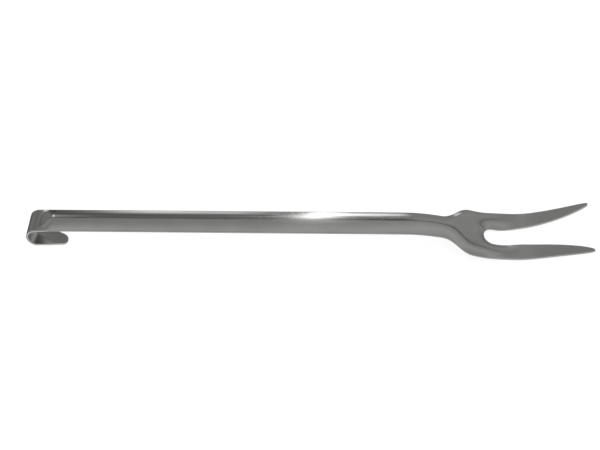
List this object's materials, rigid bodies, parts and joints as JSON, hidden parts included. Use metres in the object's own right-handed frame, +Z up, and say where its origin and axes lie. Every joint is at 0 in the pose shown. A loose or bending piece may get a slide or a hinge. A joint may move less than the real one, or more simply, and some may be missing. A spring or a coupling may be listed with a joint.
{
  "type": "carving fork",
  "caption": "Long-handled kitchen carving fork in pressed stainless steel, with an arched handle, a bent hanging hook, a dropped palm and upswept tines.",
  "frame": {"origin": "middle of the fork's bounding box, on the surface that it lies on", "axes": "+X along the handle from the hanging hook to the tines, +Z up away from the surface, +Y to the left tine"},
  "size_m": [0.3526, 0.04, 0.0227],
  "materials": {
    "polished_steel": "polished stainless steel with fine handling scratches"
  },
  "bodies": {
    "root": {"hanging_hook": "polished_steel", "handle": "polished_steel", "neck": "polished_steel", "palm": "polished_steel", "left_tine": "polished_steel", "right_tine": "polished_steel"}
  },
  "joints": []
}
